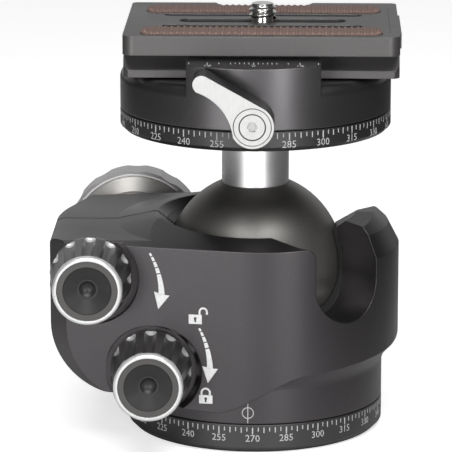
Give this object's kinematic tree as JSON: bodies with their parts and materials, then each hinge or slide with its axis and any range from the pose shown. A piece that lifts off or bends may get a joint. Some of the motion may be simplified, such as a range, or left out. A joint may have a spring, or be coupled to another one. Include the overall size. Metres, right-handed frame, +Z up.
{
  "type": "tripod ball head",
  "caption": "Ball head for a tripod: a ball clamped in a slotted housing that pans on its foot, topped by a panning quick-release clamp with a camera plate.",
  "frame": {"origin": "centre of the tripod thread at the underside of the foot", "axes": "+Z up along the pan axis towards the camera plate, -Y towards the side with the lever, the index mark and the two front knobs, +X along the plate to the right"},
  "size_m": [0.0808, 0.0856, 0.0999],
  "materials": {
    "body_anodised": "satin dark grey anodised",
    "ball_anodised": "satin grey black hard coat",
    "plate_anodised": "satin grey anodised",
    "black_anodised": "satin black anodised",
    "grip_anodised": "satin light grey anodised",
    "bright": "bright turned",
    "steel": "machined",
    "black_steel": "black oxide",
    "brass": "machined",
    "slip_ring": "smooth",
    "liner": "smooth",
    "cap_black": "satin",
    "pad_rubber": "ribbed"
  },
  "bodies": {
    "base": {"base_plate": "body_anodised", "tripod_socket": "steel", "pan_spindle": "steel", "spindle_screws": "black_steel", "pan_washer": "slip_ring"},
    "housing": {"housing": "body_anodised", "ball_collar": "liner", "lower_cup": "liner", "cup_spring": "steel", "lock_washer": "steel", "tension_washer": "steel"},
    "front_cotter": {"front_cotter": "brass"},
    "rear_cotter": {"rear_cotter": "brass"},
    "lock_knob": {"lock_stud": "steel", "lock_knob_collar": "grip_anodised", "lock_knob_grip": "grip_anodised", "lock_knob_cap": "cap_black"},
    "tension_knob": {"tension_stud": "steel", "tension_knob": "black_anodised", "tension_ring": "bright", "tension_cap": "cap_black"},
    "pan_knob": {"pan_stud": "steel", "pan_knob": "black_anodised", "pan_knob_ring": "bright", "pan_knob_cap": "cap_black"},
    "ball": {"ball": "ball_anodised"},
    "stem": {"stem": "bright", "clamp_ring": "body_anodised", "stem_screw": "steel", "ring_flange": "steel", "flange_screws": "black_steel"},
    "drum": {"clamp_drum": "body_anodised", "drum_washer": "slip_ring", "lock_pin": "brass"},
    "lever": {"pan_lever": "black_anodised", "lever_washer": "bright", "lever_screw": "bright"},
    "jaw": {"rear_jaw": "body_anodised", "jaw_pins": "steel"},
    "clamp_knob": {"clamp_stud": "steel", "clamp_knob": "black_anodised", "clamp_knob_cap": "cap_black"},
    "plate": {"quick_plate": "plate_anodised", "front_pad": "pad_rubber", "rear_pad": "pad_rubber", "end_block": "plate_anodised", "stop_screws": "steel"},
    "screw_carriage": {"screw_washer": "slip_ring"},
    "camera_screw": {"camera_screw": "bright"}
  },
  "joints": [
    {"name": "base_pan", "type": "hinge", "parent": "base", "child": "housing", "pos_m": [0, 0, 0.0103], "axis": [0, 0, 1], "continuous": true},
    {"name": "ball_tilt", "type": "hinge", "parent": "housing", "child": "ball", "pos_m": [0, 0, 0.0384], "axis": [0.7193, 0.6947, 0], "range_deg": [-25, 90]},
    {"name": "ball_swivel", "type": "hinge", "parent": "ball", "child": "stem", "pos_m": [0, 0, 0.0384], "axis": [0, 0, 1], "continuous": true},
    {"name": "clamp_pan", "type": "hinge", "parent": "stem", "child": "drum", "pos_m": [0, 0, 0.07585], "axis": [0, 0, 1], "continuous": true},
    {"name": "lever_turn", "type": "hinge", "parent": "drum", "child": "lever", "pos_m": [0, -0.0322, 0.0786], "axis": [0, -1, 0], "range_deg": [-80, 0]},
    {"name": "plate_slide", "type": "slide", "parent": "drum", "child": "plate", "axis": [1, 0, 0], "range_m": [-0.0125, 0.0095]},
    {"name": "clamp_knob_turn", "type": "hinge", "parent": "jaw", "child": "clamp_knob", "pos_m": [0, 0.0317, 0.08055], "axis": [0, 1, 0], "range_deg": [0, 1080]},
    {"name": "jaw_slide", "type": "slide", "parent": "drum", "child": "jaw", "axis": [0, 1, 0], "range_m": [0, 0.0024]},
    {"name": "screw_slide", "type": "slide", "parent": "plate", "child": "screw_carriage", "axis": [1, 0, 0], "range_m": [-0.0165, 0.0165]},
    {"name": "screw_spin", "type": "hinge", "parent": "screw_carriage", "child": "camera_screw", "pos_m": [0.0016, 0, 0.0957], "axis": [0, 0, 1], "continuous": true},
    {"name": "lock_knob_turn", "type": "hinge", "parent": "housing", "child": "lock_knob", "pos_m": [-0.0301, 0.0288, 0.0356], "axis": [0, 1, 0], "range_deg": [0, 180]},
    {"name": "tension_knob_turn", "type": "hinge", "parent": "housing", "child": "tension_knob", "pos_m": [-0.0372, -0.024, 0.0403], "axis": [0, -1, 0], "range_deg": [-180, 360]},
    {"name": "pan_knob_turn", "type": "hinge", "parent": "housing", "child": "pan_knob", "pos_m": [-0.0234, -0.0257, 0.0187], "axis": [0, -1, 0], "range_deg": [0, 180]},
    {"name": "front_cotter_slide", "type": "slide", "parent": "housing", "child": "front_cotter", "axis": [0, -1, 0], "range_m": [0, 0.00025]},
    {"name": "rear_cotter_slide", "type": "slide", "parent": "housing", "child": "rear_cotter", "axis": [0, 1, 0], "range_m": [0, 0.00025]}
  ],
  "couplings": [
    {"joint": "jaw_slide", "follows": "clamp_knob_turn", "m_per_rad": 0.00012731},
    {"joint": "front_cotter_slide", "follows": "pan_knob_turn", "m_per_rad": 0.0000637},
    {"joint": "rear_cotter_slide", "follows": "pan_knob_turn", "m_per_rad": 0.0000637}
  ]
}
